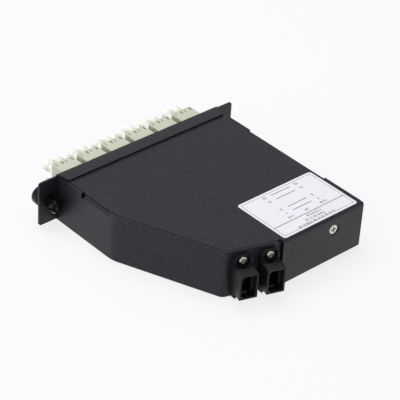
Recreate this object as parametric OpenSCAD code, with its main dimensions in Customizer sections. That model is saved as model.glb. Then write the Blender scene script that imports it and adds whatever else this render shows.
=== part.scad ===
// Fibre optic cassette: a folded steel tray and cover, twelve duplex LC adapters at the front,
// two MPO adapters on the angled rear wall, and the fibre fan-out between them.
// Origin: midway between the two panel fasteners, on the rear face of the front plate's ears.
// X runs along the front plate, Y towards the rear, Z up. All sizes are in millimetres.

/* [Front plate] */
// Width of the front plate over both ears
plate_w = 130; // [126:0.5:134]
// Height of the ears
plate_h = 25.6; // [24.6:0.1:30]
// Thickness of the tray's sheet
sheet = 1; // [0.8:0.05:1.2]
// Radius of the ears' corners
ear_r = 1.4; // [0.6:0.1:3]
// Distance from a panel fastener to the plate's end
fastener_inset = 6.25; // [5.5:0.05:7]
// Depth of the lip folded back over the cover
lip_depth = 8.7; // [6:0.1:12]
// Mitre of the lip's rear corners
lip_mitre = 2; // [1:0.1:2.6]
// Outer radius of the fold along the lip
lip_bend = 1.5; // [1.3:0.1:2.5]

/* [Housing] */
// Width of the housing behind the plate
body_w = 107; // [106:0.1:108]
// Depth from the ears' rear face to the cover's rear face
body_d = 110.5; // [108:0.5:116]
// Depth of the straight part of the wall before the taper
straight_d = 44; // [42.5:0.1:46]
// Where the taper meets the angled wall, across
taper_x = 30.5; // [29.6:0.1:31.4]
// How far the taper's rear corner lies ahead of the rear wall
taper_drop = 9; // [8.6:0.1:9.4]
// Angle of the wall that carries the MPO adapters
wall_angle = 18.5; // [18:0.1:19]
// Radius of the upright bend where the taper begins
taper_bend = 16; // [8:0.5:17]
// Radius of the upright bend where the taper ends
wall_bend = 4; // [2:0.5:6]
// How far the tray's floor lies below the ears
floor_drop = 0.7; // [0.4:0.1:1]
// How far the cover's top lies above the ears
cover_rise = 0.5; // [0.3:0.1:0.8]
// Thickness of the cover's sheet
cover_t = 1; // [0.8:0.05:1.2]
// Gap between the cover's edge and the tray's walls
cover_gap = 0.3; // [0.25:0.05:0.4]
// How far the cover lies off the middle, towards the straight side
cover_play = 0.15; // [0:0.05:0.15]
// Gap between the tray's rear wall and the cover's rear flange
rear_gap = 0.7; // [0.5:0.05:1]
// Outer radius of the fold at the cover's rear
rear_bend = 1.5; // [1.3:0.1:2]
// How far the cover's rear flange reaches past the middle
flange_end = 1.7; // [1.4:0.1:2]
// How far the flange's lower edge stays above the tray's floor
flange_rise = 0.7; // [0.4:0.1:1]
// Width of the tabs folded in under the cover
tab_w = 5; // [3:0.5:8]
// Start of the tab on the tapered side
left_tab_start = 19.1; // [18:0.1:20]
// Distance from that tab's end to the taper
left_tab_end = 3.4; // [3.4:0.1:5]
// Start of the tab on the straight side
right_tab_start = 27; // [25:0.5:30]
// Distance from that tab's end to the rear wall
right_tab_end = 25.8; // [24:0.1:28]
// Width of the relief notches beside the tabs
notch = 2; // [1:0.1:2.4]
// Depth of those notches below the cover
notch_drop = 2; // [1.5:0.1:3]

/* [LC adapters] */
// Number of adapters in a row
columns = 6; // [4:1:6]
// Share of the housing's width from one adapter to the next
column_share = 0.15047; // [0.149:0.0001:0.152]
// Distance between the two rows
row_pitch = 11.2; // [10.9:0.1:11.4]
// Width of an adapter
lc_w = 12.9; // [12.7:0.05:13.1]
// Height of an adapter
lc_h = 9.4; // [9.2:0.05:9.6]
// How far an adapter stands out of the plate's front face
lc_out = 12.4; // [11.6:0.1:13.2]
// Full length of an adapter
lc_len = 35.8; // [34:0.1:37]
// Distance between the two ports of an adapter
port_pitch = 6.25; // [6.15:0.05:6.35]
// How far the ports lie below the adapter's middle
port_drop = 1.2; // [0.8:0.1:1.4]
// Side of a port
port_side = 4.8; // [4.6:0.05:4.9]
// Depth of a port
port_depth = 13.6; // [13:0.1:14]
// Gap round an adapter in its cut-out
cut_gap = 0.1; // [0.05:0.05:0.2]

/* [Dust caps] */
// Diameter of a cap's round grip
cap_d = 7; // [6:0.1:7.2]
// Length of the grip in front of the adapter
cap_out = 10.2; // [8:0.1:12]
// Length of the cap's plug in the port
cap_in = 8; // [5:0.5:10]
// Gap between a plug and its port
cap_gap = 0.06; // [0.04:0.01:0.1]

/* [Fibre] */
// Diameter of a buffered lead
lead_d = 0.9; // [0.6:0.05:0.95]
// Distance between neighbouring levels of leads
lead_pitch = 0.98; // [0.96:0.01:1.05]
// Distance between neighbouring layers of leads
lead_layer = 1.04; // [1:0.01:1.1]
// Radius of the first bend of each lead
lead_bend = 8.5; // [7.5:0.1:8.8]
// Slack between the boots and the nearest level of leads
lead_slack = 1.5; // [1.5:0.1:2.5]
// Diameter of the round trunk leads
trunk_d = 3; // [2.4:0.1:3.4]
// Length of a fan-out block
block_l = 16; // [14:0.5:18]
// Width of a fan-out block
block_w = 8; // [7.4:0.1:8.6]
// Height of a fan-out block
block_h = 5; // [4.4:0.1:5.4]
// Distance from the straight side to the centre of the leads' turn
turn_inset = 22.2; // [21.2:0.1:23.2]
// Distance from the nearest level of leads to the fan-out blocks' axis
turn_depth = 26.4; // [26:0.2:28]

/* [MPO adapters] */
// Distance from the taper corner to the first adapter, along the wall
mpo_first = 8.7; // [8.4:0.1:9]
// Distance between the two adapters
mpo_pitch = 14.4; // [14:0.1:14.8]
// Height of the adapters' axis below the ears' middle
mpo_drop = 1.4; // [1.2:0.1:1.6]
// Width of an adapter's body
mpo_w = 9.7; // [9.4:0.05:9.9]
// Height of an adapter's body
mpo_h = 14.4; // [14.2:0.1:14.8]
// How far an adapter stands out of the wall
mpo_out = 10.8; // [9.5:0.1:12]
// How far an adapter reaches in behind the wall
mpo_in = 12; // [11:0.1:13]
// How far an adapter's flange reaches past its body at each end
mpo_ear = 5.4; // [5:0.1:5.6]
// Thickness of an adapter's flange
mpo_flange_t = 3; // [2.6:0.1:3.6]
// Distance from an adapter's body to a screw's axis
mpo_screw_ear = 2.7; // [2.6:0.05:2.9]
// Thickness of an adapter's moulded wall
mpo_wall = 0.95; // [0.8:0.05:1.1]
// How far the key side of the opening steps in
mouth_step = 1.4; // [1:0.1:1.6]
// Depth of the wide front part of the opening
mouth_lead = 3; // [2:0.1:4]

/* [Panel fasteners] */
// Diameter of a grommet's barrel
grommet_d = 6; // [5.6:0.1:6.4]
// Diameter over a grommet's spread legs
legs_d = 7.8; // [7:0.1:8.4]
// Length of a grommet behind the ear
legs_len = 7.2; // [6:0.1:8]
// Diameter of a grommet's collar
collar_d = 10; // [9:0.1:10.6]
// Thickness of a grommet's collar
collar_t = 1.7; // [1.2:0.1:2]
// Diameter of a plunger's stem
stem_d = 3.2; // [2.8:0.1:3.4]
// Diameter of a plunger's head
head_d = 10.4; // [8:0.1:11]
// Length of a plunger's head
head_len = 6.5; // [5:0.1:7.4]
// Radial clearance between stem and grommet
stem_gap = 0.05; // [0.03:0.01:0.08]
// Gap between head and collar when pushed in
head_gap = 0.3; // [0.3:0.05:0.6]

/* [Screws] */
// Diameter of the cover screw's head
cover_head_d = 5.4; // [5:0.1:5.6]
// Diameter of the cover screw's thread
cover_screw_d = 3; // [2.8:0.1:3]
// Widest diameter of the dimple round the cover screw
dimple_d = 7.4; // [7:0.1:8]
// Distance from the straight side to the cover screw
cover_screw_inset = 20.1; // [16:0.1:26]
// Height of the cover screw above the ears' middle
cover_screw_z = 5.1; // [0:0.1:6]
// Diameter of an MPO screw's head
mpo_head_d = 4; // [3.6:0.1:4.2]
// Diameter of an MPO screw's thread
mpo_screw_d = 2; // [1.8:0.1:2.1]

/* [Label] */
// Margin between the label and the straight side
label_margin = 2.7; // [2:0.1:4]
// Width of the label from front to rear
label_d = 34.4; // [30:0.1:35]
// Thickness of the label
label_t = 0.12; // [0.08:0.01:0.2]
// Distance of the label's edge from the middle
label_x = 0.4; // [0.2:0.1:1]

/* [Hidden] */
$fn = 48;
half_h = plate_h / 2;
half_w = body_w / 2;
floor_z = -half_h - floor_drop;
top_z = half_h + cover_rise;
under_z = top_z - cover_t;
lip_z = top_z + sheet;
rear_y = body_d - cover_t - rear_gap;
lip_end = lip_depth - sheet;
lip_half = half_w + 0.3;
fastener_x = plate_w / 2 - fastener_inset;
taper_y = rear_y - taper_drop;
column_pitch = body_w * column_share;
shoulder = (column_pitch - lc_w) * 0.28;
label_end = -half_w + label_margin;
cover_screw_x = -half_w + cover_screw_inset;
wall_dir = [-cos(wall_angle), sin(wall_angle)];
rear_x = taper_x + wall_dir[0] * (rear_y - taper_y) / wall_dir[1];
plan = [[-half_w, 0], [half_w, 0], [half_w, straight_d], [taper_x, taper_y], [rear_x, rear_y],
        [-half_w, rear_y]];
plan_r = [0, 0, taper_bend, wall_bend, 1.2, 0.6];
lc_front = -sheet - lc_out;
lc_rear = lc_front + lc_len;
port_in = lc_front + port_depth;
port_back = lc_rear - port_depth;
ferrule_d = 1.25;
plug_side = 4.5;
plug_end = lc_rear + 4;
boot_len = 8;
boot_end = plug_end + boot_len;
mpo_z = -mpo_drop;
mpo_boot = mpo_in + 15;
mpo_flange_h = mpo_h + 2 * mpo_ear;
mpo_screw_gap = mpo_h + 2 * mpo_screw_ear;
mouth_h = mpo_h - 2 * mpo_wall;
plug_w = mpo_w - 2 * mpo_wall - 0.3;
plug_h = mouth_h - 0.5;
seat_slope = 1.3;
seat_y = body_d - (dimple_d - cover_head_d - 0.06) / 2 / seat_slope;
screw_face = seat_y + 0.3;
lead_y = boot_end + lead_bend + lead_slack;
block_y = lead_y + turn_depth;
turn_x = -half_w + turn_inset;
block_x = turn_x + 3;
levels = columns;

// Rounded outlines: each corner of a convex outline is replaced by points on an arc.
function unit(v) = v / norm(v);
function left_of(a, b) = let (u = unit(b - a)) [-u[1], u[0]];
function meet(p, u, q, v) = p + u * (cross(q - p, v) / cross(u, v));
function at(list, i) = list[(i + len(list)) % len(list)];
function inset(pts, d) = [for (i = [0:len(pts) - 1])
    let (a = at(pts, i - 1), b = pts[i], c = at(pts, i + 1))
    meet(b + left_of(a, b) * d, b - a, b + left_of(b, c) * d, c - b)];
function corner(a, b, c, r) = r < 0.05 ? [b] :
    let (u = unit(a - b), w = unit(c - b), half = acos(u * w) / 2,
         mid = b + unit(u + w) * r / sin(half), from = b + u * r / tan(half) - mid,
         start = atan2(from[1], from[0]), turn = 180 - 2 * half, n = max(3, ceil(turn / 9)))
    [for (k = [0:n]) mid + r * [cos(start + turn * k / n), sin(start + turn * k / n)]];
function rounded(pts, radii) = [for (i = [0:len(pts) - 1])
    each corner(at(pts, i - 1), pts[i], at(pts, i + 1), radii[i])];
function box_points(x0, y0, x1, y1) = [[x0, y0], [x1, y0], [x1, y1], [x0, y1]];

// Outline of the housing, moved inwards by d
module housing_plan(d) {
    polygon(rounded(inset(plan, d), [for (r = plan_r) r > d ? r - d : 0]));
}

// A slab with rounded upright edges
module slab(x0, y0, x1, y1, r, z0, z1) {
    translate([0, 0, z0]) linear_extrude(z1 - z0)
        polygon(rounded(box_points(x0, y0, x1, y1), [r, r, r, r]));
}

// A profile drawn in Y and Z, extruded along X
module along_x(x0, x1) {
    translate([x0, 0, 0]) rotate([90, 0, 90]) linear_extrude(x1 - x0) children();
}

// A profile drawn in X and Z, extruded along Y
module along_y(y0, y1) {
    translate([0, y1, 0]) rotate([90, 0, 0]) linear_extrude(y1 - y0) children();
}

// A cylinder or a cone along Y
module rod_y(x, y0, y1, z, d0, d1) {
    translate([x, y0, z]) rotate([-90, 0, 0]) cylinder(h = y1 - y0, d1 = d0, d2 = d1);
}

// Places a child at an MPO adapter: its Y axis points out of the angled wall
module at_mpo(index) {
    s = mpo_first + index * mpo_pitch;
    translate([taper_x + wall_dir[0] * s, taper_y + wall_dir[1] * s, mpo_z])
        rotate([0, 0, -wall_angle]) children();
}

// Places a child at each of an adapter's two ports
module at_ports(column, row) {
    for (side = [-1, 1])
        translate([column_x(column) + side * port_pitch / 2, 0, port_z(row)]) children();
}
function port_z(row) = row * row_pitch / 2 - port_drop;
function column_x(column) = (column - (columns - 1) / 2) * column_pitch;
function port_x(port) = column_x(floor(port / 2)) + (port % 2 - 0.5) * port_pitch;

// Front plate with its ears, its folded lip and the cut-outs
module front_plate() {
    difference() {
        union() {
            along_y(-sheet, 0) polygon(rounded(
                box_points(-plate_w / 2, -half_h, plate_w / 2, half_h), [for (i = [0:3]) ear_r]));
            intersection() {
                along_x(-lip_half, lip_half) lip_profile();
                translate([0, 0, floor_z - 1]) linear_extrude(lip_z - floor_z + 2) polygon([
                    [-lip_half, -sheet - 1], [lip_half, -sheet - 1], [lip_half, 0],
                    [lip_half - lip_mitre, lip_end], [-lip_half + lip_mitre, lip_end],
                    [-lip_half, 0]]);
            }
            along_y(-sheet, 0) polygon(
                box_points(-half_w, floor_z, half_w, -half_h + 1));
        }
        for (column = [0:columns - 1]) for (row = [-1, 1])
            translate([column_x(column), 0, row * row_pitch / 2]) along_y(-sheet - 1, 1)
                polygon(box_points(-lc_w / 2 - cut_gap, -lc_h / 2 - cut_gap,
                                   lc_w / 2 + cut_gap, lc_h / 2 + cut_gap));
        for (side = [-1, 1])
            rod_y(side * fastener_x, -sheet - 1, 1, 0, grommet_d + 0.1, grommet_d + 0.1);
    }
}
module lip_profile() {
    r = lip_bend - sheet;
    polygon(concat([[0, half_h - 1], [0, top_z - r]],
        [for (k = [1:6]) [r - r * cos(k * 15), top_z - r + r * sin(k * 15)]],
        [[lip_end, top_z], [lip_end, lip_z]],
        [for (k = [0:6]) [lip_bend - sheet - lip_bend * sin(k * 15),
                          lip_z - lip_bend + lip_bend * cos(k * 15)]],
        [[-sheet, half_h - 1]]));
}

// A tab folded in from a wall to carry the cover's edge
module wall_tab(side, start, end) {
    r = 0.4;
    scale_x = side;
    intersection() {
        along_y(start + notch, end - 0.3)
            polygon([for (p = concat([[half_w - sheet, under_z - 4], [half_w, under_z - 4]],
                [for (k = [0:6]) [half_w - sheet - r + (sheet + r) * cos(k * 15),
                                  under_z - sheet - r + (sheet + r) * sin(k * 15)]],
                [[half_w - tab_w, under_z], [half_w - tab_w, under_z - sheet]],
                [for (k = [6:-1:0]) [half_w - sheet - r + r * cos(k * 15),
                                     under_z - sheet - r + r * sin(k * 15)]]))
                [p[0] * scale_x, p[1]]]);
        translate([0, 0, floor_z]) linear_extrude(40) housing_plan(0);
    }
}

// The tray: floor, walls, front plate, lip and tabs folded from one sheet
module tray() {
    color([0.20, 0.20, 0.22]) difference() {
        union() {
            difference() {
                translate([0, 0, floor_z]) linear_extrude(top_z - floor_z) housing_plan(0);
                translate([0, 0, floor_z + sheet]) linear_extrude(top_z - floor_z)
                    housing_plan(sheet);
                slab(-half_w + sheet, -1, half_w - sheet, 2 * sheet, 0, floor_z + sheet, top_z + 1);
                translate([0, rear_y - 5, under_z]) slab(-half_w + sheet, 0, rear_x, 10, 0, 0, 5);
                translate([0, rear_y - 0.9, under_z - 0.1])
                    slab(-half_w + sheet, 0, rear_x - 1, 10, 0, 0, 5);
                translate([half_w, 0, 0])
                    slab(-sheet - 0.5, left_tab_start, 1, straight_d - left_tab_end, 0,
                         under_z - notch_drop, top_z + 1);
                translate([-half_w, 0, 0])
                    slab(-1, right_tab_start, sheet + 0.5, rear_y - right_tab_end, 0,
                         under_z - notch_drop, top_z + 1);
                translate([0, 0, half_h]) slab(-half_w - 1, -1, half_w + 1, lip_end + 0.3, 0,
                                               0, 5);
            }
            wall_tab(1, left_tab_start, straight_d - left_tab_end);
            wall_tab(-1, right_tab_start, rear_y - right_tab_end);
            front_plate();
            rod_y(cover_screw_x, rear_y - sheet, rear_y, cover_screw_z, 9, 9);
        }
        for (index = [0, 1]) at_mpo(index) {
            along_y(-sheet - 1, 1) polygon(box_points(-mpo_w / 2 - cut_gap, -mpo_h / 2 - cut_gap,
                mpo_w / 2 + cut_gap, mpo_h / 2 + cut_gap));
            for (side = [-1, 1]) rod_y(0, -sheet - 1, 1, side * mpo_screw_gap / 2,
                                       mpo_screw_d + 0.1, mpo_screw_d + 0.1);
        }
        rod_y(cover_screw_x, rear_y - 2 * sheet, rear_y + 1, cover_screw_z, 4.2, 4.2);
    }
}

// Diameter of the dimple at a given depth from the front
function dimple_at(y) = dimple_d - 2 * seat_slope * (body_d - y);

// The cover: a flat lid with a rear flange, dimpled round its screw
module cover() {
    edge = sheet + cover_gap;
    r = rear_bend - cover_t;
    color([0.21, 0.21, 0.23]) difference() {
        union() {
            translate([0, 0, under_z]) linear_extrude(cover_t) intersection() {
                translate([-cover_play, 0]) housing_plan(edge);
                translate([-half_w, 2]) square([body_w, body_d]);
            }
            translate([0, 0, under_z]) slab(-half_w + edge - cover_play, rear_y - 8, flange_end,
                                            body_d - rear_bend, 0, 0, cover_t);
            along_x(-half_w, flange_end) polygon(concat(
                [[rear_y + 0.15, under_z], [body_d - rear_bend, under_z]],
                [for (k = [1:6]) [body_d - rear_bend + r * sin(k * 15),
                                  under_z - r + r * cos(k * 15)]],
                [[body_d - cover_t, floor_z + flange_rise], [body_d, floor_z + flange_rise]],
                [for (k = [6:-1:0]) [body_d - rear_bend + rear_bend * sin(k * 15),
                                     top_z - rear_bend + rear_bend * cos(k * 15)]],
                [[rear_y + 0.15, top_z]]));
            rod_y(cover_screw_x, rear_y + 0.05, body_d - cover_t, cover_screw_z,
                  dimple_at(rear_y + 0.05) + 1.6, dimple_at(body_d - cover_t) + 1.6);
        }
        rod_y(cover_screw_x, rear_y - 1, body_d, cover_screw_z,
              dimple_at(rear_y - 1), dimple_at(body_d));
        rod_y(cover_screw_x, rear_y - 1, body_d, cover_screw_z,
              cover_screw_d + 0.4, cover_screw_d + 0.4);
        rod_y(cover_screw_x, body_d - 0.01, body_d + 1, cover_screw_z, dimple_d, dimple_d);
    }
}

// A cross recess cut into a screw head that faces +Y
module cross_recess(size, depth) {
    for (turn = [0, 90]) rotate([0, turn, 0])
        translate([-size / 2, -depth, -size / 7]) cube([size, depth + 1, size / 3.5]);
}

// The countersunk screw that holds the cover
module cover_screw() {
    face = screw_face;
    cone = (cover_head_d - cover_screw_d) / 2 / seat_slope;
    color([0.78, 0.78, 0.72]) difference() {
        union() {
            rod_y(cover_screw_x, rear_y - 6, face, cover_screw_z, cover_screw_d, cover_screw_d);
            rod_y(cover_screw_x, face - 0.3 - cone, face - 0.3, cover_screw_z,
                  cover_screw_d, cover_head_d);
            rod_y(cover_screw_x, face - 0.3, face, cover_screw_z, cover_head_d,
                  cover_head_d - 0.4);
        }
        translate([cover_screw_x, face, cover_screw_z]) cross_recess(3.2, 0.9);
    }
}

// The clinch nut pressed into the tray's rear wall
module clinch_nut() {
    color([0.7, 0.7, 0.7]) difference() {
        union() {
            rod_y(cover_screw_x, rear_y - sheet - 2.4, rear_y - sheet, cover_screw_z, 6.4, 6.4);
            rod_y(cover_screw_x, rear_y - sheet, rear_y, cover_screw_z, 4.2, 4.2);
        }
        rod_y(cover_screw_x, rear_y - 6, rear_y + 1, cover_screw_z,
              cover_screw_d + 0.1, cover_screw_d + 0.1);
    }
}

// The printed label
module label() {
    rear = rear_y;
    color([0.94, 0.94, 0.96]) slab(label_end, rear - label_d, -label_x, rear, 1.6,
                                   top_z, top_z + label_t);
}

// One duplex LC adapter with its two ports, front and rear
module lc_adapter(column, row) {
    slot_z = lc_h / 2 - 1.2 + port_drop;
    color([0.84, 0.85, 0.77]) difference() {
        translate([column_x(column), 0, row * row_pitch / 2]) union() {
            along_y(lc_front, lc_rear) polygon(rounded(
                box_points(-lc_w / 2, -lc_h / 2, lc_w / 2, lc_h / 2), [0.35, 0.35, 0.35, 0.35]));
            along_y(0, 1.8) polygon(box_points(-lc_w / 2 - shoulder, -lc_h / 2 + 0.8,
                                               lc_w / 2 + shoulder, lc_h / 2 - 0.8));
        }
        translate([column_x(column), 0, row * row_pitch / 2]) for (side = [-1, 1])
            translate([side * lc_w / 2, 0, 0]) slab(-0.5, lc_front + 3, 0.5, -sheet - 0.4, 0,
                                                    -0.35, 0.35);
        at_ports(column, row) {
            along_y(lc_front - 1, port_in) port_outline();
            along_y(port_back, lc_rear + 1) port_outline();
            rod_y(0, port_in - 1, port_back + 1, 0, ferrule_d + 0.5, ferrule_d + 0.5);
            slab(-2.4, lc_front + 0.9, -1.4, lc_front + 3.3, 0, slot_z, slot_z + 2);
            slab(1.7, lc_front + 0.9, 2.15, lc_front + 3.3, 0, slot_z, slot_z + 2);
        }
    }
}
module port_outline() {
    h = port_side / 2;
    polygon([[-h, -h], [h, -h], [h, h], [1.6, h], [1.6, h + 2], [-1.6, h + 2], [-1.6, h],
             [-h, h]]);
}

// The ceramic alignment sleeves inside the adapters
module sleeves() {
    for (port = [0:columns * 2 - 1]) for (row = [-1, 1])
        translate([port_x(port), 0, port_z(row)]) color([0.95, 0.95, 0.93])
            difference() {
                rod_y(0, port_in - 0.6, port_back + 0.6, 0, ferrule_d + 0.46, ferrule_d + 0.46);
                rod_y(0, port_in - 2, port_back + 2, 0, ferrule_d + 0.08, ferrule_d + 0.08);
            }
}

// Twelve dust caps in one row: a round grip with a square plug
module dust_caps(row) {
    side = port_side / 2 - cap_gap;
    r = cap_d / 2;
    for (port = [0:columns * 2 - 1]) translate([port_x(port), 0, port_z(row)])
        color([0.93, 0.95, 0.93, 0.6]) union() {
            translate([0, lc_front - 0.15, 0]) rotate([90, 0, 0]) rotate_extrude() polygon(concat(
                [[0, 0], [2.9, 0], [2.9, 0.9], [2.2, 1.5]],
                [for (k = [0:10]) let (a = -38 + k * 12.8)
                    [r * 0.88 * cos(a), cap_out - r + r * sin(a)]],
                [[0, cap_out]]));
            along_y(lc_front - 0.3, lc_front + cap_in) polygon(rounded(
                box_points(-side, -side, side, side), [0.5, 0.5, 0.5, 0.5]));
        }
}

// Twelve LC connectors in one row, plugged in from inside
module lc_plugs(row) {
    s = plug_side / 2;
    for (port = [0:columns * 2 - 1]) translate([port_x(port), 0, port_z(row)])
        color([0.80, 0.82, 0.76]) union() {
            along_y(port_back + 2.5, plug_end) polygon(rounded(box_points(-s, -s, s, s),
                [0.4, 0.4, 0.4, 0.4]));
            rod_y(0, port_in + (port_back - port_in) / 2, port_back + 3, 0, ferrule_d, ferrule_d);
            along_x(-1.2, 1.2) polygon([[port_back + 5, s - 0.2], [plug_end - 1, s + 1],
                                        [plug_end - 1, s + 0.5], [port_back + 9, s - 0.2]]);
            rod_y(0, plug_end - 0.2, boot_end, 0, 3.2, 2);
        }
}

// A tube swept along points, with the direction of the path given at each
module sweep(points, ways, d, sides) {
    n = len(points) - 1;
    skin = [for (i = [0:n]) let (w = unit(ways[i]), a = unit(cross(w, [0, 0, 1])), b = cross(a, w))
        for (k = [0:sides - 1]) points[i] + d / 2 * (a * cos(k * 360 / sides)
            + b * sin(k * 360 / sides))];
    polyhedron(skin, concat([[for (k = [0:sides - 1]) k]],
        [for (i = [0:n - 1]) for (k = [0:sides - 1])
            [i * sides + k, (i + 1) * sides + k, (i + 1) * sides + (k + 1) % sides,
             i * sides + (k + 1) % sides]],
        [[for (k = [sides - 1:-1:0]) n * sides + k]]));
}

// One buffered lead: out of its boot, across the tray and round to the fan-out. The two ports
// beside the wall go straight up instead, in a layer of their own.
module lead(port, row) {
    direct = port < 2;
    level = floor(port / 2);
    z0 = port_z(row) + (port % 2 - 0.5) * lead_layer;
    z = direct ? port_z(row) + 1.5 * lead_layer : z0;
    x = port_x(port);
    r = lead_bend;
    mid = (lead_y + (levels - 1) * lead_pitch / 2 + block_y) / 2;
    y = direct ? block_y - (port - 0.5) * lead_pitch : lead_y + level * lead_pitch;
    turn = mid - y;
    centre = min(turn_x, x - r);
    bend = [for (k = [0:4]) k * 22.5];
    loop = direct ? [] : [for (k = [0:9]) k * 20];
    hand = direct ? -1 : 1;
    points = concat([[x, boot_end, z0]], direct ? [[x, boot_end + 4, z]] : [],
        [for (a = bend) [x - hand * r * (1 - cos(a)), y - r + r * sin(a), z]],
        [for (a = loop) [centre - turn * sin(a), mid - turn * cos(a), z]],
        [[block_x, direct ? y : mid + turn, z]]);
    ways = concat([[0, 1, 0]], direct ? [[0, 1, 0]] : [], [for (a = bend) [-hand * sin(a), cos(a), 0]],
        [for (a = loop) [-cos(a), sin(a), 0]], [[1, 0, 0]]);
    color([0.25, 0.70, 0.75]) sweep(points, ways, lead_d, 6);
}
module leads(row) {
    for (port = [0:columns * 2 - 1]) lead(port, row);
}

// The block where twelve leads become one round trunk
module fan_out(row) {
    color([0.15, 0.15, 0.16]) union() {
        slab(block_x, block_y - block_w / 2, block_x + block_l, block_y + block_w / 2, 1.4,
             port_z(row) - block_h / 2, port_z(row) + block_h / 2);
        translate([block_x + block_l - 0.5, block_y, port_z(row)]) rotate([0, 90, 0])
            cylinder(d1 = trunk_d + 1.6, d2 = trunk_d + 0.8, h = 3);
    }
}

// A round trunk lead swept along a curve from the fan-out to its MPO connector
function bezier(p, t) = p[0] * pow(1 - t, 3) + p[1] * 3 * t * pow(1 - t, 2)
    + p[2] * 3 * t * t * (1 - t) + p[3] * pow(t, 3);
function slope(p, t) = (p[1] - p[0]) * pow(1 - t, 2) + (p[2] - p[1]) * 2 * t * (1 - t)
    + (p[3] - p[2]) * t * t;
module trunk(row, index) {
    s = mpo_first + index * mpo_pitch;
    out = [sin(wall_angle), cos(wall_angle), 0];
    end = [taper_x + wall_dir[0] * s, taper_y + wall_dir[1] * s, mpo_z] - out * mpo_boot;
    start = [block_x + block_l + 2.5, block_y, port_z(row)];
    path = [start, start + [index == 0 ? 22 : 8, 0, 0], end - out * 11, end];
    steps = [for (i = [0:22]) i / 22];
    color([0.20, 0.62, 0.68]) sweep([for (t = steps) bezier(path, t)],
        [for (t = steps) slope(path, t)], trunk_d, 10);
}

// The MPO connector inside, with its ferrule, guide pins and boot
module mpo_plug(index) {
    color([0.12, 0.12, 0.13]) at_mpo(index) union() {
        along_y(-mpo_in - 8, -1.6) mouth(-plug_w / 2, plug_w / 2, plug_h / 2);
        along_y(-1.8, 1.6) polygon(box_points(-1.25, -3.2, 1.25, 3.2));
        for (z = [-2.3, 2.3]) rod_y(0, 1.5, 3.6, z, 0.7, 0.7);
        rod_y(0, -mpo_boot, -mpo_in - 7.8, 0, 4, 6);
    }
}

// One MPO adapter: a flanged body with an opening at each end and a hole between them
module mpo_adapter(index) {
    w = mpo_w / 2;
    f = mpo_flange_h / 2;
    cut = 2.2;
    inner = w - mpo_wall;
    h = mouth_h / 2;
    color([0.13, 0.13, 0.15]) at_mpo(index) union() {
        difference() {
            union() {
                along_y(0, mpo_flange_t) polygon([[-w, -f + cut], [-w + cut, -f], [w - cut, -f],
                    [w, -f + cut], [w, f - cut], [w - cut, f], [-w + cut, f], [-w, f - cut]]);
                along_y(-mpo_in, mpo_out) polygon(rounded(box_points(-w, -mpo_h / 2, w, mpo_h / 2),
                    [0.4, 0.4, 0.4, 0.4]));
            }
            for (side = [-1, 1]) {
                rod_y(0, 1.8, mpo_flange_t + 2.4, side * mpo_screw_gap / 2, 7.2, 7.8);
                rod_y(0, -1, mpo_flange_t, side * mpo_screw_gap / 2,
                      mpo_screw_d + 0.2, mpo_screw_d + 0.2);
            }
            along_y(mpo_out - mouth_lead, mpo_out + 1) mouth(-inner, inner, h);
            along_y(0.8, mpo_out) mouth(-inner + mouth_step, inner, h);
            along_y(-mpo_in - 1, -0.8) mouth(-inner, inner, h);
            along_y(-2, 2) polygon(box_points(-1.6, -3.6, 1.6, 3.6));
        }
        for (side = [0, 1]) mirror([0, 0, side]) latch(mouth_step / 2, h);
    }
}

// Outline of an opening from x0 to x1, chamfered on the side towards x1
module mouth(x0, x1, h) {
    polygon([[x0, -h + 0.3], [x0 + 0.3, -h], [x1 - 1.4, -h], [x1, -h + 1.4],
             [x1, h - 1.4], [x1 - 1.4, h], [x0 + 0.3, h], [x0, h - 0.3]]);
}

// A latch arm in the opening, with the hook at its tip
module latch(x, h) {
    tip = mpo_out - mouth_lead;
    along_x(x - 1.5, x + 1.5) polygon([[0.3, h - 1.05], [tip - 1.2, h - 1.05], [tip - 1, h - 1.55],
        [tip - 0.5, h - 1.55], [tip, h - 1.05], [tip, h - 0.4], [0.3, h - 0.4]]);
}

// The four MPO screws
module mpo_screws() {
    for (index = [0, 1]) at_mpo(index) for (side = [-1, 1])
        translate([0, 0, side * mpo_screw_gap / 2]) color([0.78, 0.78, 0.72]) difference() {
            union() {
                rod_y(0, -sheet - 0.8, 2, 0, mpo_screw_d, mpo_screw_d);
                rod_y(0, 1.85, 2.6, 0, mpo_head_d, mpo_head_d);
                rod_y(0, 2.6, 3.1, 0, mpo_head_d, mpo_head_d - 1);
            }
            translate([0, 3.1, 0]) cross_recess(2.4, 0.8);
        }
}

// The split grommet that grips the panel behind the ear
module grommet(side) {
    slot = 1;
    color([0.10, 0.10, 0.11]) translate([side * fastener_x, 0, 0]) difference() {
        rotate([-90, 0, 0]) rotate_extrude() polygon([
            [stem_d / 2 + stem_gap, -sheet - collar_t], [collar_d / 2 - 0.5, -sheet - collar_t],
            [collar_d / 2, -sheet - collar_t + 0.6], [collar_d / 2, -sheet],
            [grommet_d / 2, -sheet], [grommet_d / 2, 2], [legs_d / 2, legs_len - 1.6],
            [legs_d / 2, legs_len - 1], [legs_d / 2 - 0.8, legs_len],
            [stem_d / 2 + stem_gap, legs_len]]);
        for (turn = [0, 90]) rotate([0, turn, 0])
            translate([-legs_d, 0.6, -slot / 2]) cube([2 * legs_d, legs_len, slot]);
    }
}

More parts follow.
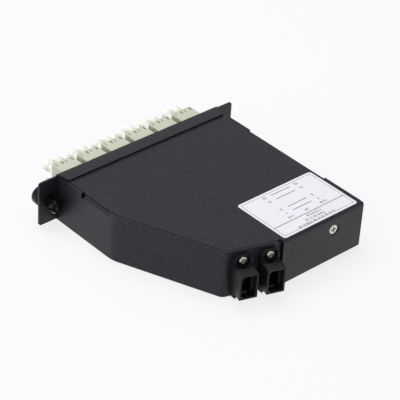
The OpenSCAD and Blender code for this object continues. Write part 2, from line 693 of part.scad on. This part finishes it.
// The plunger that spreads the grommet's legs when it is pushed in
module plunger(side) {
    base = -sheet - collar_t - head_gap;
    front = base - head_len;
    color([0.11, 0.11, 0.12]) translate([side * fastener_x, 0, 0]) rotate([-90, 0, 0])
        rotate_extrude() polygon(concat(
            [[0, front]],
            [for (k = [1:8]) let (a = k * 11.25)
                [head_d / 2 * sin(a), front + head_len * 0.3 * (1 - cos(a))]],
            [[head_d / 2, base - 1.2], [head_d / 2 - 0.5, base - 0.5], [head_d / 2 - 0.5, base],
             [stem_d / 2, base], [stem_d / 2, legs_len - 0.2], [stem_d / 2 - 0.7, legs_len + 0.6],
             [0, legs_len + 0.6]]));
}

tray();
cover();
cover_screw();
clinch_nut();
label();
lc_adapter(0, 1);  // lc_adapter_u1
lc_adapter(1, 1);  // lc_adapter_u2
lc_adapter(2, 1);  // lc_adapter_u3
lc_adapter(3, 1);  // lc_adapter_u4
lc_adapter(4, 1);  // lc_adapter_u5
lc_adapter(5, 1);  // lc_adapter_u6
lc_adapter(0, -1);  // lc_adapter_l1
lc_adapter(1, -1);  // lc_adapter_l2
lc_adapter(2, -1);  // lc_adapter_l3
lc_adapter(3, -1);  // lc_adapter_l4
lc_adapter(4, -1);  // lc_adapter_l5
lc_adapter(5, -1);  // lc_adapter_l6
dust_caps(1);  // dust_caps_upper
dust_caps(-1);  // dust_caps_lower
sleeves();
lc_plugs(1);  // lc_plugs_upper
lc_plugs(-1);  // lc_plugs_lower
leads(1);  // leads_upper
leads(-1);  // leads_lower
fan_out(1);  // fan_out_upper
fan_out(-1);  // fan_out_lower
trunk(1, 0);  // trunk_upper
trunk(-1, 1);  // trunk_lower
mpo_plug(0);  // mpo_plug_a
mpo_plug(1);  // mpo_plug_b
mpo_adapter(0);  // mpo_adapter_a
mpo_adapter(1);  // mpo_adapter_b
mpo_screws();
grommet(1);  // grommet_left
grommet(-1);  // grommet_right
plunger(1);  // plunger_left
plunger(-1);  // plunger_right
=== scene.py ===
import math

import bmesh
import bpy
import numpy as np
from mathutils import Matrix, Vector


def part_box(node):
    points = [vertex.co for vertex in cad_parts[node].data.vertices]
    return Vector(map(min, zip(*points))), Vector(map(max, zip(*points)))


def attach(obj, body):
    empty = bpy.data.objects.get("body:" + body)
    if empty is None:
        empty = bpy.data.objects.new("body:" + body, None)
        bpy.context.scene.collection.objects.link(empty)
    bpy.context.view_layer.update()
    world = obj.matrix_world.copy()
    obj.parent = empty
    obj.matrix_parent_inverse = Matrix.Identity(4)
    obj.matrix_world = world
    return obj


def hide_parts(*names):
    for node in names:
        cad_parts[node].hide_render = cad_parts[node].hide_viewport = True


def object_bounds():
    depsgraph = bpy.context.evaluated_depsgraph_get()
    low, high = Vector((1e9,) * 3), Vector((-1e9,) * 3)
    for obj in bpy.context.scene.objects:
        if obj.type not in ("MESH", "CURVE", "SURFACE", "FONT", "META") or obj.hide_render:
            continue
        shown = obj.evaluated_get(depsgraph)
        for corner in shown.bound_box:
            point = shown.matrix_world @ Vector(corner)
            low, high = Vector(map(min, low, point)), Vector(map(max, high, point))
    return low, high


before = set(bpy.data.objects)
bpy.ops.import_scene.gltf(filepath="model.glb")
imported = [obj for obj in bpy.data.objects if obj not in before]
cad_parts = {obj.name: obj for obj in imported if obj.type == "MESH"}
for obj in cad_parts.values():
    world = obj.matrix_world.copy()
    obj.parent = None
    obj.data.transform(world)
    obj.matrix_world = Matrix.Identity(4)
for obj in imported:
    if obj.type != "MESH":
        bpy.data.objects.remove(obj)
solid_box = [list(corner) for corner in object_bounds()]
scene = bpy.context.scene
scene.view_settings.view_transform = "Standard"

# Camera
# The angle, height and lens at which the whole cassette is seen from behind its tapered side.
camera_data = bpy.data.cameras.new("camera")
camera_data.sensor_width = 36.0
camera_data.lens = 162.6
camera_data.clip_start = 0.05
camera_data.clip_end = 20.0
camera = bpy.data.objects.new("camera", camera_data)
scene.collection.objects.link(camera)
scene.camera = camera
camera_place = (0.51860, 0.59151, 0.52194)
camera_azimuth = math.radians(136.33)
camera_elevation = math.radians(34.66)
camera_roll = math.radians(3.70)
camera_back = np.array([
    math.sin(camera_azimuth) * math.cos(camera_elevation),
    -math.cos(camera_azimuth) * math.cos(camera_elevation),
    math.sin(camera_elevation),
])
level_right = np.cross(-camera_back, [0.0, 0.0, 1.0])
level_right /= np.linalg.norm(level_right)
level_up = np.cross(level_right, -camera_back)
camera_right = math.cos(camera_roll) * level_right + math.sin(camera_roll) * level_up
camera_up = -math.sin(camera_roll) * level_right + math.cos(camera_roll) * level_up
camera_matrix = np.eye(4)
camera_matrix[:3, 0] = camera_right
camera_matrix[:3, 1] = camera_up
camera_matrix[:3, 2] = camera_back
camera_matrix[:3, 3] = camera_place
camera.matrix_world = Matrix(camera_matrix.tolist())

# Tray
# One blank of 1 mm steel, cut, folded into floor, walls, front plate, ears and lip, then
# powder coated black. The coat rounds every edge a little and has a fine orange-peel texture.


def node_group(name, inputs, outputs):
    """An empty shader node group, its entry node and its exit node.

    Each input is (name, kind, default), and each output is (name, kind).
    """
    group = bpy.data.node_groups.new(name, "ShaderNodeTree")
    for label, kind, default in inputs:
        socket = group.interface.new_socket(label, in_out="INPUT", socket_type=kind)
        socket.default_value = default
    for label, kind in outputs:
        group.interface.new_socket(label, in_out="OUTPUT", socket_type=kind)
    entry = group.nodes.new("NodeGroupInput")
    leave = group.nodes.new("NodeGroupOutput")
    return group, entry, leave


def grain_group():
    """Fine moulded or coated grain.

    A fine noise and a coarse one, both on Object coordinates, shift the colour's brightness and
    the roughness, and the fine one gives a height for a bump. The colour never falls below a
    tenth of its brightness.
    """
    darkest_share = 0.1
    group, entry, leave = node_group(
        "grain",
        [
            ("Color", "NodeSocketColor", (0.5, 0.5, 0.5, 1.0)),
            ("Roughness", "NodeSocketFloat", 0.5),
            ("Fine Scale", "NodeSocketFloat", 2600.0),
            ("Coarse Scale", "NodeSocketFloat", 40.0),
            ("Color Change", "NodeSocketFloat", 0.1),
            ("Roughness Change", "NodeSocketFloat", 0.1),
        ],
        [
            ("Color", "NodeSocketColor"),
            ("Roughness", "NodeSocketFloat"),
            ("Height", "NodeSocketFloat"),
        ],
    )
    nodes = group.nodes
    links = group.links
    place = nodes.new("ShaderNodeTexCoord")
    fine = nodes.new("ShaderNodeTexNoise")
    fine.inputs["Detail"].default_value = 3.0
    coarse = nodes.new("ShaderNodeTexNoise")
    coarse.inputs["Detail"].default_value = 4.0
    links.new(place.outputs["Object"], fine.inputs["Vector"])
    links.new(place.outputs["Object"], coarse.inputs["Vector"])
    links.new(entry.outputs["Fine Scale"], fine.inputs["Scale"])
    links.new(entry.outputs["Coarse Scale"], coarse.inputs["Scale"])
    both = nodes.new("ShaderNodeMath")
    both.operation = "ADD"
    links.new(fine.outputs["Fac"], both.inputs[0])
    links.new(coarse.outputs["Fac"], both.inputs[1])
    centred = nodes.new("ShaderNodeMath")
    centred.operation = "SUBTRACT"
    centred.inputs[1].default_value = 1.0
    links.new(both.outputs[0], centred.inputs[0])
    lighter = nodes.new("ShaderNodeMath")
    lighter.operation = "MULTIPLY_ADD"
    lighter.inputs[2].default_value = 1.0
    links.new(centred.outputs[0], lighter.inputs[0])
    links.new(entry.outputs["Color Change"], lighter.inputs[1])
    not_black = nodes.new("ShaderNodeMath")
    not_black.operation = "MAXIMUM"
    not_black.inputs[1].default_value = darkest_share
    links.new(lighter.outputs[0], not_black.inputs[0])
    tint = nodes.new("ShaderNodeVectorMath")
    tint.operation = "SCALE"
    links.new(entry.outputs["Color"], tint.inputs[0])
    links.new(not_black.outputs[0], tint.inputs["Scale"])
    links.new(tint.outputs["Vector"], leave.inputs["Color"])
    rough = nodes.new("ShaderNodeMath")
    rough.operation = "MULTIPLY_ADD"
    links.new(centred.outputs[0], rough.inputs[0])
    links.new(entry.outputs["Roughness Change"], rough.inputs[1])
    links.new(entry.outputs["Roughness"], rough.inputs[2])
    links.new(rough.outputs[0], leave.inputs["Roughness"])
    links.new(fine.outputs["Fac"], leave.inputs["Height"])
    return group


grain = grain_group()


def finish_material(
    name, color, roughness, fine_scale, coarse_scale, color_change, roughness_change, bump
):
    """A Principled material whose colour, roughness and bump come from the grain group.

    The scales are in cells per metre, and the bump's distance is in metres.
    """
    material = bpy.data.materials.new(name)
    material.use_nodes = True
    nodes = material.node_tree.nodes
    links = material.node_tree.links
    shader = nodes["Principled BSDF"]
    speckle = nodes.new("ShaderNodeGroup")
    speckle.name = "grain"
    speckle.node_tree = grain
    speckle.inputs["Color"].default_value = (*color, 1.0)
    speckle.inputs["Roughness"].default_value = roughness
    speckle.inputs["Fine Scale"].default_value = fine_scale
    speckle.inputs["Coarse Scale"].default_value = coarse_scale
    speckle.inputs["Color Change"].default_value = color_change
    speckle.inputs["Roughness Change"].default_value = roughness_change
    relief = nodes.new("ShaderNodeBump")
    relief.inputs["Strength"].default_value = 1.0
    relief.inputs["Distance"].default_value = bump
    links.new(speckle.outputs["Color"], shader.inputs["Base Color"])
    links.new(speckle.outputs["Roughness"], shader.inputs["Roughness"])
    links.new(speckle.outputs["Height"], relief.inputs["Height"])
    links.new(relief.outputs["Normal"], shader.inputs["Normal"])
    return material


def principled(material):
    """The inputs of a material's Principled node."""
    return material.node_tree.nodes["Principled BSDF"].inputs


def softened(name, node, width):
    """A copy of a CAD node's skin with its loose triangles joined and its sharp edges rounded.

    Coplanar triangles are dissolved into flat faces, and a Bevel of the given width in metres
    rounds every edge that turns by more than the sharp angle.
    """
    weld_distance = 2e-6
    flat_angle = math.radians(0.6)
    sharp_angle = math.radians(30.0)
    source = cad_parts[node]
    mesh = source.data.copy()
    mesh.name = name
    shell = bmesh.new()
    shell.from_mesh(mesh)
    bmesh.ops.remove_doubles(shell, verts=shell.verts, dist=weld_distance)
    bmesh.ops.dissolve_limit(
        shell, angle_limit=flat_angle, verts=shell.verts, edges=shell.edges
    )
    shell.to_mesh(mesh)
    shell.free()
    mesh.materials.clear()
    mesh.shade_smooth()
    piece = bpy.data.objects.new(name, mesh)
    scene.collection.objects.link(piece)
    rounding = piece.modifiers.new("rounded edges", "BEVEL")
    rounding.width = width
    rounding.segments = 2
    rounding.limit_method = "ANGLE"
    rounding.angle_limit = sharp_angle
    rounding.harden_normals = True
    rounding.use_clamp_overlap = True
    mesh.set_sharp_from_angle(angle=sharp_angle)
    return piece


def stand_in(piece, material, node, body="cassette"):
    """Gives a finished piece its material, slot and body, and sets it in place of its CAD node."""
    piece.data.materials.append(material)
    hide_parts(node)
    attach(piece, body)


powder_black = finish_material(
    "powder_black",
    color=(0.011, 0.011, 0.016),
    roughness=0.42,
    fine_scale=1800.0,
    coarse_scale=1100.0,
    color_change=3.6,
    roughness_change=0.10,
    bump=0.00003,
)
principled(powder_black)["Specular IOR Level"].default_value = 0.225
# A few specks of dust: a small round dot in some cells of a Voronoi pattern.
powder_nodes = powder_black.node_tree.nodes
powder_links = powder_black.node_tree.links
dust_size = 0.013
dust_strength = 0.22
dust_place = powder_nodes.new("ShaderNodeTexCoord")
dust_cells = powder_nodes.new("ShaderNodeTexVoronoi")
dust_cells.inputs["Scale"].default_value = 48.0
dust_near = powder_nodes.new("ShaderNodeMath")
dust_near.operation = "LESS_THAN"
dust_near.inputs[1].default_value = dust_size
dust_share = powder_nodes.new("ShaderNodeMath")
dust_share.operation = "MULTIPLY"
dust_share.inputs[1].default_value = dust_strength
dust_mix = powder_nodes.new("ShaderNodeMix")
dust_mix.data_type = "RGBA"
dust_mix.inputs["B"].default_value = (0.55, 0.55, 0.58, 1.0)
powder_links.new(dust_place.outputs["Object"], dust_cells.inputs["Vector"])
powder_links.new(dust_cells.outputs["Distance"], dust_near.inputs[0])
powder_links.new(dust_near.outputs[0], dust_share.inputs[0])
powder_links.new(dust_share.outputs[0], dust_mix.inputs["Factor"])
powder_links.new(powder_nodes["grain"].outputs["Color"], dust_mix.inputs["A"])
powder_links.new(dust_mix.outputs["Result"], principled(powder_black)["Base Color"])
sheet_edge = 0.00018
tray = softened("tray_skin", "tray", sheet_edge)
stand_in(tray, powder_black, "tray")

# Cover
# A flat lid of the same sheet with a rear flange folded down, dimpled round its one screw.
cover = softened("cover_skin", "cover", sheet_edge)
stand_in(cover, powder_black, "cover")

# Screws and clinch nut
# A zinc plated countersunk screw in the rear dimple, the nut pressed in behind it, and the four
# screws of the MPO adapters, all with the same bright plating.


def dress(node, material):
    """Gives a CAD node that is shown as it is its one material."""
    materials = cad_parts[node].data.materials
    materials.clear()
    materials.append(material)


zinc = finish_material(
    "bright_zinc",
    color=(0.52, 0.50, 0.45),
    roughness=0.30,
    fine_scale=1800.0,
    coarse_scale=300.0,
    color_change=0.12,
    roughness_change=0.2,
    bump=0.00001,
)
principled(zinc)["Metallic"].default_value = 1.0
for node in ("cover_screw", "clinch_nut", "mpo_screws"):
    dress(node, zinc)

# Label
# Satin label stock, stuck on the cover's rear corner and printed in dark grey: a fine border, a
# rule, connecting lines and plain numbers.


def printed_lines(segments, width, height):
    """Flat quads, one for each line from (x0, y0) to (x1, y1), all as one array.

    Each corner is the line's end plus or minus half the width along the line's left-hand normal.
    """
    ends = np.asarray(segments, dtype=float)
    start = ends[:, :2]
    end = ends[:, 2:]
    along = end - start
    along = along / np.linalg.norm(along, axis=1, keepdims=True)
    across = np.stack([-along[:, 1], along[:, 0]], axis=1) * width / 2.0
    along = along * width / 2.0
    corners = np.stack(
        [start - along - across, end + along - across, end + along + across, start - along + across],
        axis=1,
    )
    flat = corners.reshape(-1, 2)
    verts = np.column_stack([flat, np.full(len(flat), height)])
    return verts, np.arange(len(flat)).reshape(-1, 4)


def printed_numbers(marks, height):
    """Flat figures, as one array of points and one list of faces.

    Each mark is (text, size, centre x, centre y), and reads from the front plate's side. Its text
    curve is made a mesh first, then the points are moved so that their box is centred.
    """
    stroke_share = 0.022
    verts = []
    faces = []
    count = 0
    for words, size, centre_x, centre_y in marks:
        curve = bpy.data.curves.new("figures", "FONT")
        curve.body = words
        curve.size = size
        curve.resolution_u = 3
        curve.offset = size * stroke_share
        holder = bpy.data.objects.new("figures", curve)
        mesh = bpy.data.meshes.new_from_object(holder)
        points = np.empty(len(mesh.vertices) * 3)
        mesh.vertices.foreach_get("co", points)
        points = points.reshape(-1, 3)
        middle = (points.min(axis=0) + points.max(axis=0)) / 2.0
        points[:, 0] += centre_x - middle[0]
        points[:, 1] += centre_y - middle[1]
        points[:, 2] = height
        verts.append(points)
        faces.extend([[index + count for index in polygon.vertices] for polygon in mesh.polygons])
        count += len(points)
        bpy.data.objects.remove(holder)
        bpy.data.curves.remove(curve)
        bpy.data.meshes.remove(mesh)
    return np.concatenate(verts), faces


paper = finish_material(
    "label_stock",
    color=(0.79, 0.80, 0.85),
    roughness=0.42,
    fine_scale=3000.0,
    coarse_scale=60.0,
    color_change=0.02,
    roughness_change=0.06,
    bump=0.000005,
)
dress("label", paper)
label_low, label_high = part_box("label")
ink_rise = 0.00002
print_height = label_high[2] + ink_rise
print_x = label_high[0]
print_y = label_high[1]
border_margin = 0.0015
side_x = (label_low[0] + border_margin, label_high[0] - border_margin)
side_y = (label_low[1] + border_margin, label_high[1] - border_margin)
fine_lines = [
    (side_x[0], side_y[0], side_x[1], side_y[0]),
    (side_x[1], side_y[0], side_x[1], side_y[1]),
    (side_x[1], side_y[1], side_x[0], side_y[1]),
    (side_x[0], side_y[1], side_x[0], side_y[0]),
]
line_start = print_x - 0.0325
line_stop = print_x - 0.0200
bold_lines = [
    (line_start, print_y - back, line_stop, print_y - back)
    for back in (0.0308, 0.0269, 0.0187, 0.0150)
]
rule_y = print_y - 0.0090
bold_lines.append((side_x[0], rule_y, side_x[1], rule_y))
# Every figure's place is given by how far it lies from the label's +X edge and from its rear edge.
port_size = 0.0024
group_size = 0.0020
group_back = 0.0113
figure_marks = []
for words, back in (("12", 0.0308), ("11", 0.0269), ("2", 0.0187), ("1", 0.0148)):
    for left in (0.0154, 0.0370):
        figure_marks.append((words, port_size, print_x - left, print_y - back))
for words, left in (("1-12", 0.0150), ("24", 0.0257), ("13-24", 0.0372)):
    figure_marks.append((words, group_size, print_x - left, print_y - group_back))
for words, size, left, back in (
    ("1 2 3 4 5 6", 0.0022, 0.0266, 0.0071),
    ("7 8 9 10 11 12", 0.0022, 0.0250, 0.0047),
    ("13 14 15 16 17 18 19 20 21 22", 0.0020, 0.0240, 0.0023),
):
    figure_marks.append((words, size, print_x - left, print_y - back))
fine_width = 0.00020
bold_width = 0.00040
fine_verts, fine_faces = printed_lines(fine_lines, fine_width, print_height)
bold_verts, bold_faces = printed_lines(bold_lines, bold_width, print_height)
figure_verts, figure_faces = printed_numbers(figure_marks, print_height)
bold_first = len(fine_verts)
figure_first = bold_first + len(bold_verts)
print_verts = np.concatenate([fine_verts, bold_verts, figure_verts])
print_faces = fine_faces.tolist()
print_faces += (bold_faces + bold_first).tolist()
print_faces += [[index + figure_first for index in face] for face in figure_faces]
print_mesh = bpy.data.meshes.new("label_print")
print_mesh.from_pydata(print_verts.tolist(), [], print_faces)
print_mesh.validate()
label_print = bpy.data.objects.new("label_print", print_mesh)
scene.collection.objects.link(label_print)
ink_thickness = 0.00003
ink_depth = label_print.modifiers.new("ink depth", "SOLIDIFY")
ink_depth.thickness = ink_thickness
ink_depth.offset = -1.0
ink = finish_material(
    "label_ink",
    color=(0.035, 0.035, 0.040),
    roughness=0.5,
    fine_scale=4000.0,
    coarse_scale=900.0,
    color_change=0.6,
    roughness_change=0.1,
    bump=0.000002,
)
print_mesh.materials.append(ink)
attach(label_print, "cassette")

# LC adapters
# Twelve duplex adapters in beige moulded plastic, two rows of six, pushed through the front plate
# from behind.
beige = finish_material(
    "beige_plastic",
    color=(0.55, 0.57, 0.455),
    roughness=0.42,
    fine_scale=1500.0,
    coarse_scale=120.0,
    color_change=0.05,
    roughness_change=0.08,
    bump=0.00001,
)
columns = 6
adapter_edge = 0.00012
for row in ("u", "l"):
    for column in range(columns):
        node = f"lc_adapter_{row}{column + 1}"
        stand_in(softened(f"{node}_skin", node, adapter_edge), beige, node)

# Dust caps
# Soft translucent caps, moulded in one piece: a round grip in front and a square plug that is
# pushed into the port.


def caps_row(name, centres, height, front):
    """Twelve caps as one closed skin each, lofted along the port's axis and set side by side.

    At each station the section is a superellipse: with half size r and power p, the distance from
    the axis at angle a is r / (|cos a|^p + |sin a|^p)^(1/p). A power of 2 gives the round grip and
    a power of 9 the square plug. The grip's ball is an ellipsoid. Behind it come the neck, the
    collar and the plug, each row with its place along the axis, its half size and its power. The
    collar's rear face is at 0, and the first and last stations close in a pole.
    """
    crease_angle = math.radians(50.0)
    round_power = 2.0
    square_power = 9.0
    ball_centre = 0.0067
    ball_half_length = 0.0035
    ball_radius = 0.00308
    tip_angle = 84.0
    neck_angle = -38.0
    ball_stations = 15
    section_steps = 48
    ball = np.radians(np.linspace(tip_angle, neck_angle, ball_stations))
    behind_ball = np.array([
        (-0.0036, 0.00228, round_power),
        (-0.0021, 0.00221, round_power),
        (-0.0015, 0.00223, round_power),
        (-0.0010, 0.00280, round_power),
        (-0.0009, 0.00290, round_power),
        (0.0000, 0.00290, round_power),
        (0.0002, 0.00286, round_power),
        (0.0003, 0.00234, square_power),
        (0.0076, 0.00234, square_power),
        (0.0078, 0.00214, square_power),
    ])
    station_y = np.concatenate(
        [-(ball_centre + ball_half_length * np.sin(ball)), behind_ball[:, 0]]
    )
    half_size = np.concatenate([ball_radius * np.cos(ball), behind_ball[:, 1]])
    power = np.concatenate([np.full(len(ball), round_power), behind_ball[:, 2]])
    angle = np.linspace(0.0, 2.0 * np.pi, section_steps, endpoint=False)
    spread = (np.abs(np.cos(angle))[None, :] ** power[:, None]
              + np.abs(np.sin(angle))[None, :] ** power[:, None]) ** (-1.0 / power[:, None])
    ring_r = half_size[:, None] * spread
    ring = np.stack([
        ring_r * np.cos(angle)[None, :],
        np.broadcast_to(station_y[:, None], ring_r.shape),
        ring_r * np.sin(angle)[None, :],
    ], axis=2).reshape(-1, 3)
    tip = 0.00002
    poles = np.array([[0.0, station_y[0] - tip, 0.0], [0.0, station_y[-1], 0.0]])
    one = np.concatenate([ring, poles])
    place = np.arange(len(ring)).reshape(len(station_y), section_steps)
    ahead = np.roll(place, -1, axis=1)
    quads = np.stack([place[:-1], place[1:], ahead[1:], ahead[:-1]], axis=2).reshape(-1, 4)
    first_pole = np.full(section_steps, len(ring))
    last_pole = first_pole + 1
    first_fan = np.column_stack([first_pole, place[0], ahead[0]])
    last_fan = np.column_stack([last_pole, ahead[-1], place[-1]])
    verts = []
    faces = []
    for number, centre in enumerate(centres):
        verts.append(one + np.array([centre, front, height]))
        shift = number * len(one)
        faces.extend((quads + shift).tolist())
        faces.extend((first_fan + shift).tolist())
        faces.extend((last_fan + shift).tolist())
    mesh = bpy.data.meshes.new(name)
    mesh.from_pydata(np.concatenate(verts).tolist(), [], faces)
    mesh.validate()
    shell = bmesh.new()
    shell.from_mesh(mesh)
    bmesh.ops.recalc_face_normals(shell, faces=shell.faces)
    shell.to_mesh(mesh)
    shell.free()
    mesh.shade_smooth()
    mesh.set_sharp_from_angle(angle=crease_angle)
    piece = bpy.data.objects.new(name, mesh)
    scene.collection.objects.link(piece)
    return piece


clear = finish_material(
    "clear_cap",
    color=(0.85, 0.88, 0.81),
    roughness=0.60,
    fine_scale=900.0,
    coarse_scale=150.0,
    color_change=0.03,
    roughness_change=0.08,
    bump=0.00001,
)
principled(clear)["Transmission Weight"].default_value = 0.04
principled(clear)["Subsurface Weight"].default_value = 0.5
principled(clear)["Subsurface Radius"].default_value = (1.0, 1.0, 1.0)
principled(clear)["Subsurface Scale"].default_value = 0.002
principled(clear)["Specular IOR Level"].default_value = 0.16
half_port_pitch = 0.003125
first_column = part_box("lc_adapter_u1")[0]
last_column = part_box(f"lc_adapter_u{columns}")[0]
column_step = (last_column[0] - first_column[0]) / (columns - 1)
port_centres = [
    (column - (columns - 1) / 2.0) * column_step + side * half_port_pitch
    for column in range(columns)
    for side in (-1, 1)
]
collar_gap = 0.00015
cap_front = first_column[1] - collar_gap
for node in ("dust_caps_upper", "dust_caps_lower"):
    cap_low, cap_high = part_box(node)
    caps = caps_row(f"{node}_skin", port_centres, (cap_low[2] + cap_high[2]) / 2.0, cap_front)
    stand_in(caps, clear, node)

# Fibre
# Ceramic sleeves, beige inner connectors, aqua jackets, and the moulded fan-out blocks.
ceramic = finish_material(
    "ceramic",
    color=(0.86, 0.86, 0.83),
    roughness=0.22,
    fine_scale=2500.0,
    coarse_scale=200.0,
    color_change=0.03,
    roughness_change=0.05,
    bump=0.000004,
)
jacket = finish_material(
    "aqua_jacket",
    color=(0.06, 0.50, 0.55),
    roughness=0.38,
    fine_scale=2000.0,
    coarse_scale=100.0,
    color_change=0.08,
    roughness_change=0.1,
    bump=0.00001,
)
moulded = finish_material(
    "black_plastic",
    color=(0.009, 0.009, 0.011),
    roughness=0.38,
    fine_scale=1800.0,
    coarse_scale=90.0,
    color_change=0.3,
    roughness_change=0.12,
    bump=0.00001,
)
principled(moulded)["Specular IOR Level"].default_value = 0.16
inner_finishes = {
    "sleeves": ceramic,
    "lc_plugs_upper": beige,
    "lc_plugs_lower": beige,
    "leads_upper": jacket,
    "leads_lower": jacket,
    "fan_out_upper": moulded,
    "fan_out_lower": moulded,
    "trunk_upper": jacket,
    "trunk_lower": jacket,
    "mpo_plug_a": moulded,
    "mpo_plug_b": moulded,
}
for node, material in inner_finishes.items():
    dress(node, material)

# MPO adapters
# Two black moulded adapters, flanged and screwed to the angled wall, each open for a trunk plug.
moulded_edge = 0.00014
for node in ("mpo_adapter_a", "mpo_adapter_b"):
    stand_in(softened(f"{node}_skin", node, moulded_edge), moulded, node)

# Grommets and plungers
# Black nylon panel fasteners in the ears: a split grommet and the plunger that spreads it.
nylon = finish_material(
    "black_nylon",
    color=(0.005, 0.005, 0.006),
    roughness=0.14,
    fine_scale=1500.0,
    coarse_scale=100.0,
    color_change=0.2,
    roughness_change=0.1,
    bump=0.00001,
)
principled(nylon)["Specular IOR Level"].default_value = 0.19
nylon_edge = 0.0002
for side in ("left", "right"):
    grommet = softened(f"grommet_{side}_skin", f"grommet_{side}", nylon_edge)
    stand_in(grommet, nylon, f"grommet_{side}")
    plunger = softened(f"plunger_{side}_skin", f"plunger_{side}", nylon_edge)
    stand_in(plunger, nylon, f"plunger_{side}", body=f"{side}_plunger")

# Floor and light
# A pale floor that reads as nearly white and keeps a soft shadow, and three soft lamps.
floor_gap = 0.0001
floor_reach = 3.0
floor_low = solid_box[0][2] - floor_gap
floor_mesh = bpy.data.meshes.new("floor")
floor_mesh.from_pydata(
    [
        (-floor_reach, -floor_reach, floor_low),
        (floor_reach, -floor_reach, floor_low),
        (floor_reach, floor_reach, floor_low),
        (-floor_reach, floor_reach, floor_low),
    ],
    [],
    [(0, 1, 2, 3)],
)
floor = bpy.data.objects.new("floor", floor_mesh)
scene.collection.objects.link(floor)


def seen_in_picture(nodes, links, rays):
    """A value that is 1 for camera, glossy and transmission rays, and 0 for the others."""
    first = nodes.new("ShaderNodeMath")
    first.operation = "MAXIMUM"
    links.new(rays.outputs["Is Camera Ray"], first.inputs[0])
    links.new(rays.outputs["Is Glossy Ray"], first.inputs[1])
    every = nodes.new("ShaderNodeMath")
    every.operation = "MAXIMUM"
    links.new(first.outputs[0], every.inputs[0])
    links.new(rays.outputs["Is Transmission Ray"], every.inputs[1])
    return every.outputs[0]


# The glow keeps the floor pale, and the part that isn't glow takes the shadow. In reflections the
# glow is stronger, as over a lit table.
glow_share = 0.8
glossy_extra = 0.40
floor_material = bpy.data.materials.new("pale_floor")
floor_material.use_nodes = True
floor_nodes = floor_material.node_tree.nodes
floor_links = floor_material.node_tree.links
floor_shader = floor_nodes["Principled BSDF"]
floor_shader.inputs["Base Color"].default_value = (0.85, 0.85, 0.85, 1.0)
floor_shader.inputs["Roughness"].default_value = 0.9
floor_shader.inputs["Specular IOR Level"].default_value = 0.1
floor_rays = floor_nodes.new("ShaderNodeLightPath")
floor_strength = floor_nodes.new("ShaderNodeMath")
floor_strength.operation = "MULTIPLY_ADD"
floor_strength.inputs[1].default_value = glossy_extra
floor_strength.inputs[2].default_value = 1.0
floor_glow = floor_nodes.new("ShaderNodeEmission")
floor_glow.inputs["Color"].default_value = (0.98, 0.98, 1.0, 1.0)
floor_share = floor_nodes.new("ShaderNodeMath")
floor_share.operation = "MULTIPLY"
floor_share.inputs[1].default_value = glow_share
floor_mix = floor_nodes.new("ShaderNodeMixShader")
floor_links.new(floor_rays.outputs["Is Glossy Ray"], floor_strength.inputs[0])
floor_links.new(floor_strength.outputs[0], floor_glow.inputs["Strength"])
floor_links.new(seen_in_picture(floor_nodes, floor_links, floor_rays), floor_share.inputs[0])
floor_links.new(floor_share.outputs[0], floor_mix.inputs[0])
floor_links.new(floor_shader.outputs[0], floor_mix.inputs[1])
floor_links.new(floor_glow.outputs[0], floor_mix.inputs[2])
floor_links.new(floor_mix.outputs[0], floor_nodes["Material Output"].inputs[0])
floor_mesh.materials.append(floor_material)

# The background is white where it is seen, and a dimmer fill light for everything else.
fill_strength = 0.38
world = bpy.data.worlds.new("studio")
scene.world = world
world.use_nodes = True
world_nodes = world.node_tree.nodes
world_links = world.node_tree.links
world_fill = world_nodes["Background"]
world_fill.inputs["Color"].default_value = (1.0, 1.0, 1.0, 1.0)
world_fill.inputs["Strength"].default_value = fill_strength
world_white = world_nodes.new("ShaderNodeBackground")
world_white.inputs["Strength"].default_value = 1.0
world_rays = world_nodes.new("ShaderNodeLightPath")
world_mix = world_nodes.new("ShaderNodeMixShader")
world_links.new(seen_in_picture(world_nodes, world_links, world_rays), world_mix.inputs[0])
world_links.new(world_fill.outputs[0], world_mix.inputs[1])
world_links.new(world_white.outputs[0], world_mix.inputs[2])
world_links.new(world_mix.outputs[0], world_nodes["World Output"].inputs[0])


def soft_lamp(name, place, aim, side, power):
    """A square area lamp of the given side in metres, at a place, turned towards a point."""
    data = bpy.data.lights.new(name, "AREA")
    data.shape = "SQUARE"
    data.size = side
    data.energy = power
    lamp = bpy.data.objects.new(name, data)
    scene.collection.objects.link(lamp)
    back = np.subtract(place, aim)
    back = back / np.linalg.norm(back)
    right = np.cross([0.0, 0.0, 1.0], back)
    right = right / np.linalg.norm(right)
    turn = np.eye(4)
    turn[:3, 0] = right
    turn[:3, 1] = np.cross(back, right)
    turn[:3, 2] = back
    turn[:3, 3] = place
    lamp.matrix_world = Matrix(turn.tolist())


part_middle = (0.0, 0.05, 0.0)
soft_lamp("top lamp", place=(0.05, -0.30, 1.20), aim=part_middle, side=0.9, power=10.5)
soft_lamp("side lamp", place=(1.20, -0.10, 0.45), aim=part_middle, side=0.7, power=5.0)
soft_lamp("rear lamp", place=(-0.35, 1.25, 0.45), aim=part_middle, side=0.7, power=2.5)
